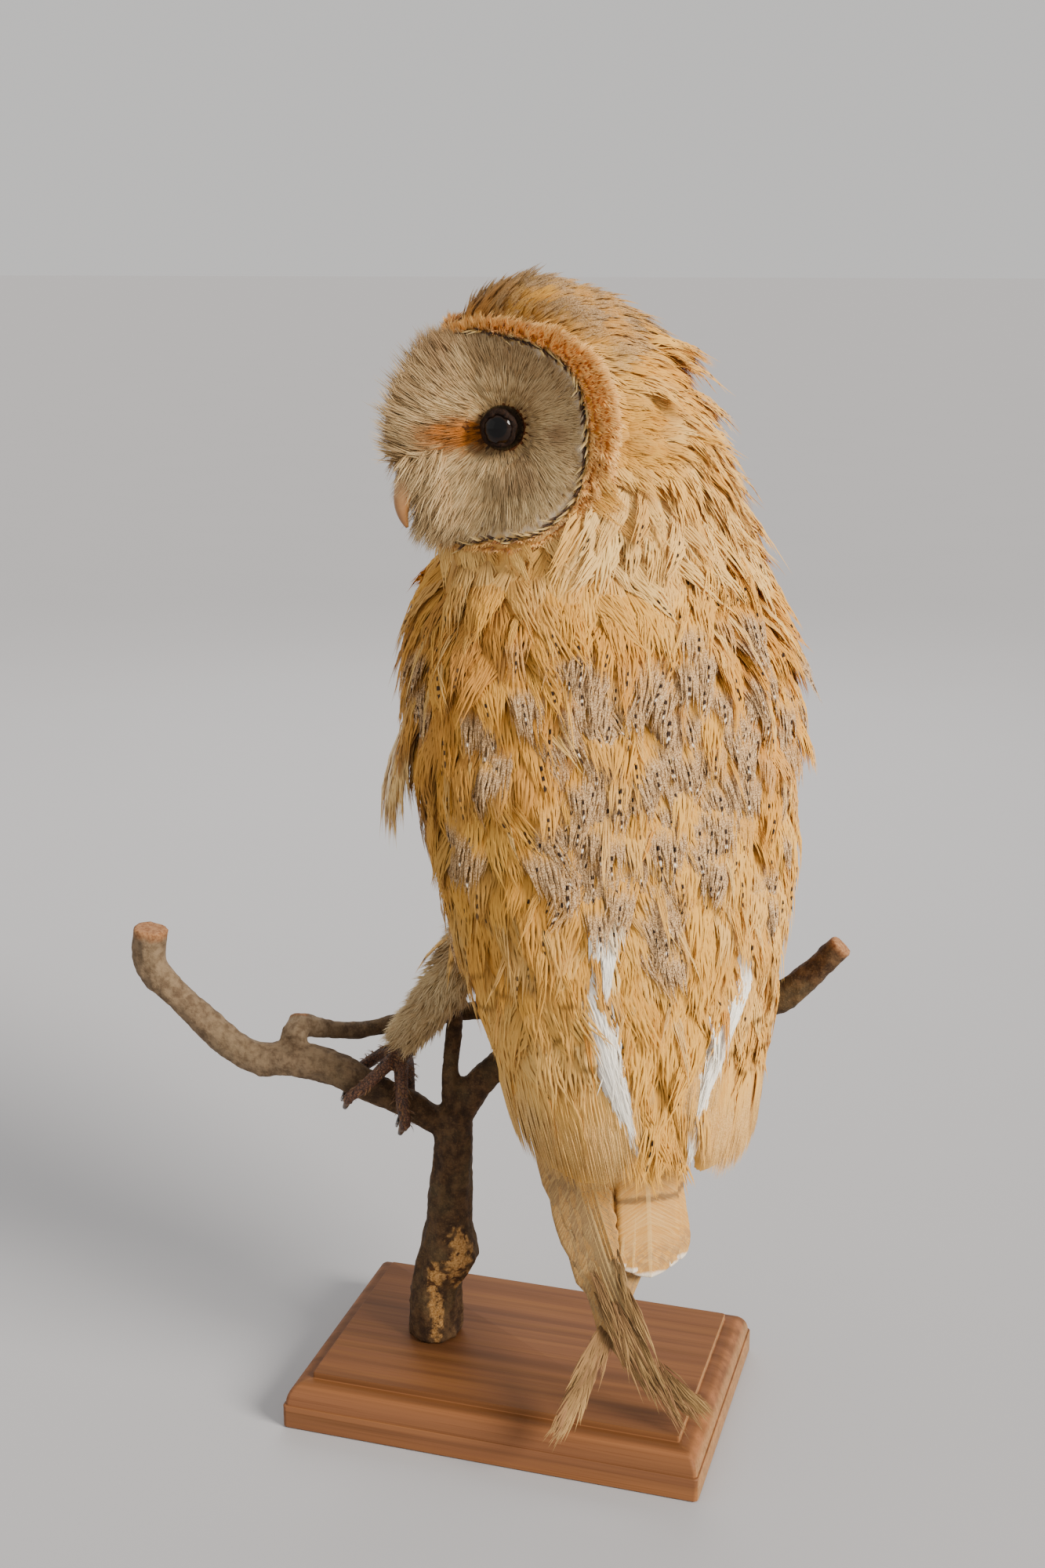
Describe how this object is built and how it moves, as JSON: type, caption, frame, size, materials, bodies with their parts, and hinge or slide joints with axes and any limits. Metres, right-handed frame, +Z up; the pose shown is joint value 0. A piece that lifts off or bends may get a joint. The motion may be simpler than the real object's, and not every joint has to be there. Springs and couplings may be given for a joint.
{
  "type": "taxidermy barn owl",
  "caption": "Mounted barn owl, head turned over its left shoulder, on a forked branch that stands on a moulded wooden base.",
  "frame": {"origin": "centre of the base's underside", "axes": "+Z up, X along the base's long side; the owl's breast faces between -Y and +X, and its face looks back over its left shoulder towards +X and +Y"},
  "size_m": [0.2358, 0.1392, 0.3825],
  "materials": {
    "base_wood": "oiled softwood, satin, long grain",
    "bark": "dry rough bark, matte, with peeled wood at a knot",
    "body_plumage": "golden plumage with grey-lilac mottling and dark specks",
    "face_plumage": "off-white hair-like plumage with an orange ruff",
    "flight_feathers": "long vanes, ochre with grey-brown barbs",
    "leg_down": "cream down",
    "toe_skin": "dry scaly skin, dark brown",
    "eye_glass": "near-black glass eye, polished",
    "bill_horn": "pinkish horn, satin",
    "claw_horn": "dark horn, satin"
  },
  "bodies": {
    "root": {"base_plate": "base_wood", "bill_lower": "bill_horn", "bill_upper": "bill_horn", "claw_left_1": "claw_horn", "claw_left_2": "claw_horn", "claw_left_3": "claw_horn", "claw_left_4": "claw_horn", "claw_right_1": "claw_horn", "claw_right_2": "claw_horn", "claw_right_3": "claw_horn", "claw_right_4": "claw_horn", "eye_left": "eye_glass", "eye_right": "eye_glass", "foot_left": "toe_skin", "foot_right": "toe_skin", "head": "face_plumage", "leg_left": "leg_down", "leg_right": "leg_down", "loose_feathers_left": "flight_feathers", "neck": "body_plumage", "perch_limb_left": "bark", "perch_limb_right": "bark", "perch_limb_up": "bark", "perch_stem": "bark", "primaries_left": "flight_feathers", "primaries_right": "flight_feathers", "tail": "flight_feathers", "trunk": "body_plumage", "wing_left": "body_plumage", "wing_right": "body_plumage"}
  },
  "joints": []
}
